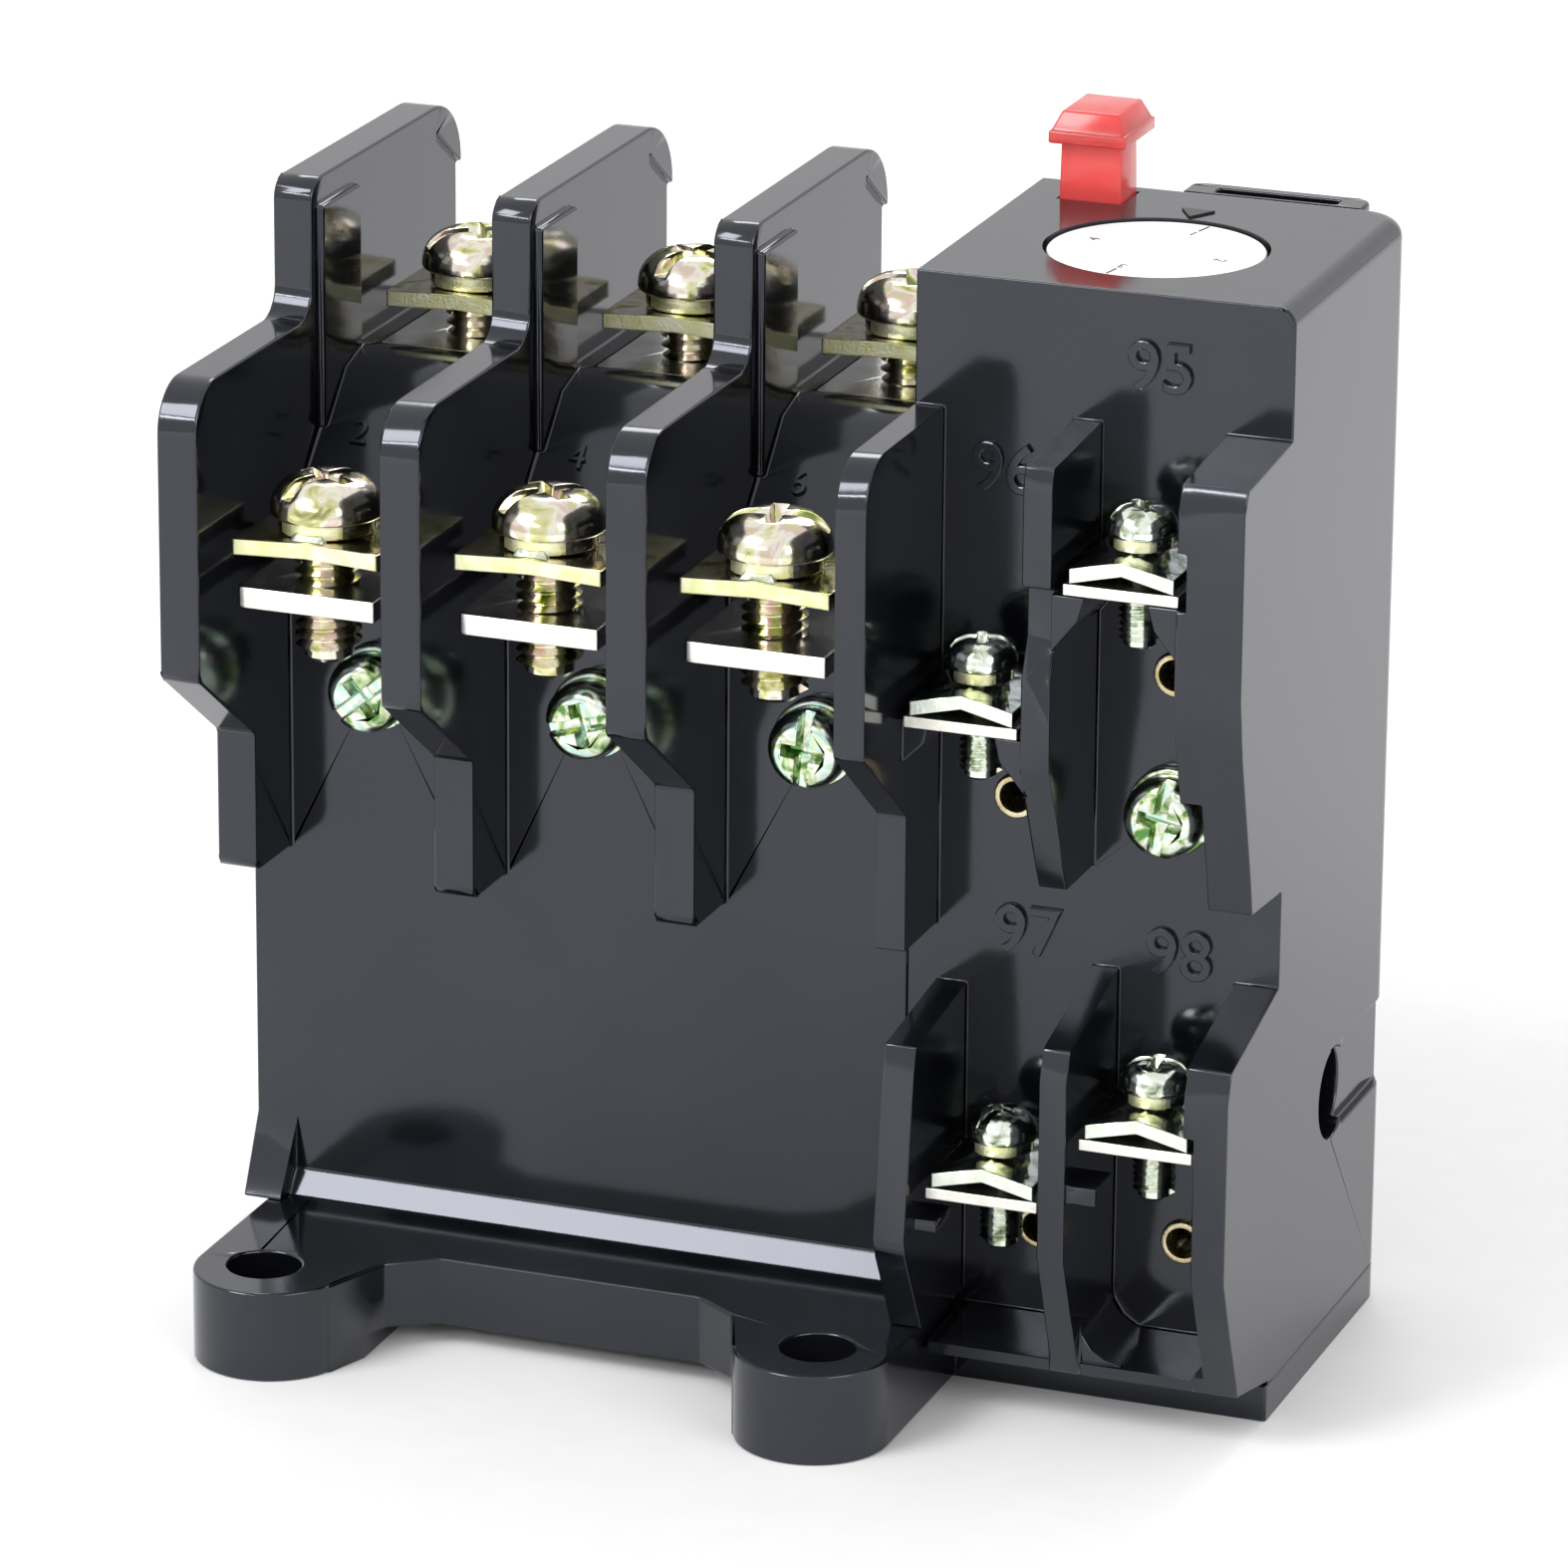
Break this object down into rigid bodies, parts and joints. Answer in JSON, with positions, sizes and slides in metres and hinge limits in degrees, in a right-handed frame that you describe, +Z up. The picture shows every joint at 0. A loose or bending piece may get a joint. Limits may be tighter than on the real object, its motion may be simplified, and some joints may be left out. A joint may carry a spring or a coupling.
{
  "type": "thermal overload relay",
  "caption": "Block-shaped motor protection relay in black moulding with screw terminals between barriers, a setting dial and a red reset button.",
  "frame": {"origin": "middle of the whole box's base, on the mounting surface under the feet", "axes": "+X towards the contact block, +Y from the terminals' front towards the back, +Z up from the base to the reset button"},
  "size_m": [0.0704, 0.0476, 0.0796],
  "materials": {
    "black_moulding": "glossy moulded phenolic",
    "base_moulding": "glossy moulded phenolic",
    "yellow_zinc": "yellow passivated zinc with green and gold iridescence",
    "panel_screw_zinc": "pale zinc plate",
    "tinned_copper": "tinned copper, dull white",
    "silvered_plate": "silvered brass strip",
    "rivet_metal": "rolled brass",
    "bimetal_steel": "rolled strip",
    "steel": "drawn wire and turned pins",
    "inner_plastic": "moulded, satin",
    "white_dial": "moulded, matt",
    "red_button": "moulded, slightly translucent"
  },
  "bodies": {
    "case": {"main_case": "black_moulding", "contact_case": "black_moulding", "base_plate": "base_moulding", "rear_cover": "base_moulding", "load_saddles": "yellow_zinc", "load_lock_washers": "yellow_zinc", "load_screws": "yellow_zinc", "line_saddles": "yellow_zinc", "line_lock_washers": "yellow_zinc", "line_screws": "yellow_zinc", "load_bar_1": "tinned_copper", "line_bar_1": "tinned_copper", "bimetal_bracket_1": "bimetal_steel", "heater_1": "bimetal_steel", "load_bar_2": "tinned_copper", "line_bar_2": "tinned_copper", "bimetal_bracket_2": "bimetal_steel", "heater_2": "bimetal_steel", "load_bar_3": "tinned_copper", "line_bar_3": "tinned_copper", "bimetal_bracket_3": "bimetal_steel", "heater_3": "bimetal_steel", "heater_fixing_screws": "panel_screw_zinc", "heater_fixing_washers": "panel_screw_zinc", "front_lock_washer": "panel_screw_zinc", "front_screw": "panel_screw_zinc", "terminal_plate_95": "silvered_plate", "terminal_plate_96": "silvered_plate", "terminal_plate_97": "silvered_plate", "terminal_plate_98": "silvered_plate", "aux_saddles": "yellow_zinc", "aux_lock_washers": "yellow_zinc", "aux_screws": "yellow_zinc", "aux_rivets": "rivet_metal", "fixed_contact_95": "silvered_plate", "fixed_contact_96": "silvered_plate", "fixed_contact_97": "silvered_plate", "fixed_contact_98": "silvered_plate", "pivot_pins": "steel", "base_screws": "panel_screw_zinc", "rear_cover_screws": "panel_screw_zinc"},
    "slider": {"trip_slider": "inner_plastic"},
    "bimetal_strip_1": {"bimetal_1": "bimetal_steel"},
    "bimetal_strip_2": {"bimetal_2": "bimetal_steel"},
    "bimetal_strip_3": {"bimetal_3": "bimetal_steel"},
    "dial": {"setting_dial": "white_dial", "setting_cam": "inner_plastic", "dial_clip": "steel"},
    "lever": {"setting_lever": "inner_plastic", "compensator_pin": "steel"},
    "compensator": {"compensating_strip": "bimetal_steel"},
    "arm": {"contact_arm": "inner_plastic", "contact_bridges": "silvered_plate", "snap_spring": "steel"},
    "reset": {"reset_button": "red_button", "reset_plunger": "inner_plastic", "reset_spring": "steel"}
  },
  "joints": [
    {"name": "trip_slide", "type": "slide", "parent": "case", "child": "slider", "axis": [1, 0, 0], "range_m": [0, 0.0018], "stiffness_N_per_m": 100, "springref_m": -0.002},
    {"name": "bimetal_1_bend", "type": "hinge", "parent": "case", "child": "bimetal_strip_1", "pos_m": [-0.02623, 0.0061, 0.05], "axis": [0, -1, 0], "range_deg": [0, 2.9]},
    {"name": "bimetal_2_bend", "type": "hinge", "parent": "case", "child": "bimetal_strip_2", "pos_m": [-0.01103, 0.0061, 0.05], "axis": [0, -1, 0], "range_deg": [0, 2.9]},
    {"name": "bimetal_3_bend", "type": "hinge", "parent": "case", "child": "bimetal_strip_3", "pos_m": [0.00417, 0.0061, 0.05], "axis": [0, -1, 0], "range_deg": [0, 2.9]},
    {"name": "dial_turn", "type": "hinge", "parent": "case", "child": "dial", "pos_m": [0.0227, 0.0048, 0.0737], "axis": [0, 0, 1], "range_deg": [0, 270]},
    {"name": "setting_lever_swing", "type": "hinge", "parent": "case", "child": "lever", "pos_m": [0.0193, 0.0051, 0.0502], "axis": [0, -1, 0], "range_deg": [0, 2.8]},
    {"name": "compensator_swing", "type": "hinge", "parent": "lever", "child": "compensator", "pos_m": [0.0178, 0.0051, 0.043], "axis": [0, -1, 0], "range_deg": [0, 3]},
    {"name": "contact_arm_swing", "type": "hinge", "parent": "case", "child": "arm", "pos_m": [0.0263, 0.0046, 0.032], "axis": [0, 1, 0], "range_deg": [0, 4.65]},
    {"name": "reset_press", "type": "slide", "parent": "case", "child": "reset", "axis": [0, 0, -1], "range_m": [0, 0.0025], "stiffness_N_per_m": 100, "springref_m": -0.0025, "deforming": ["reset_spring"]}
  ],
  "couplings": [
    {"joint": "bimetal_1_bend", "follows": "trip_slide", "rad_per_m": 26.67},
    {"joint": "bimetal_2_bend", "follows": "trip_slide", "rad_per_m": 26.67},
    {"joint": "bimetal_3_bend", "follows": "trip_slide", "rad_per_m": 26.67},
    {"joint": "setting_lever_swing", "follows": "dial_turn", "ratio": 0.01},
    {"joint": "compensator_swing", "follows": "trip_slide", "rad_per_m": 28.2},
    {"joint": "contact_arm_swing", "follows": "trip_slide", "rad_per_m": 44.4}
  ]
}
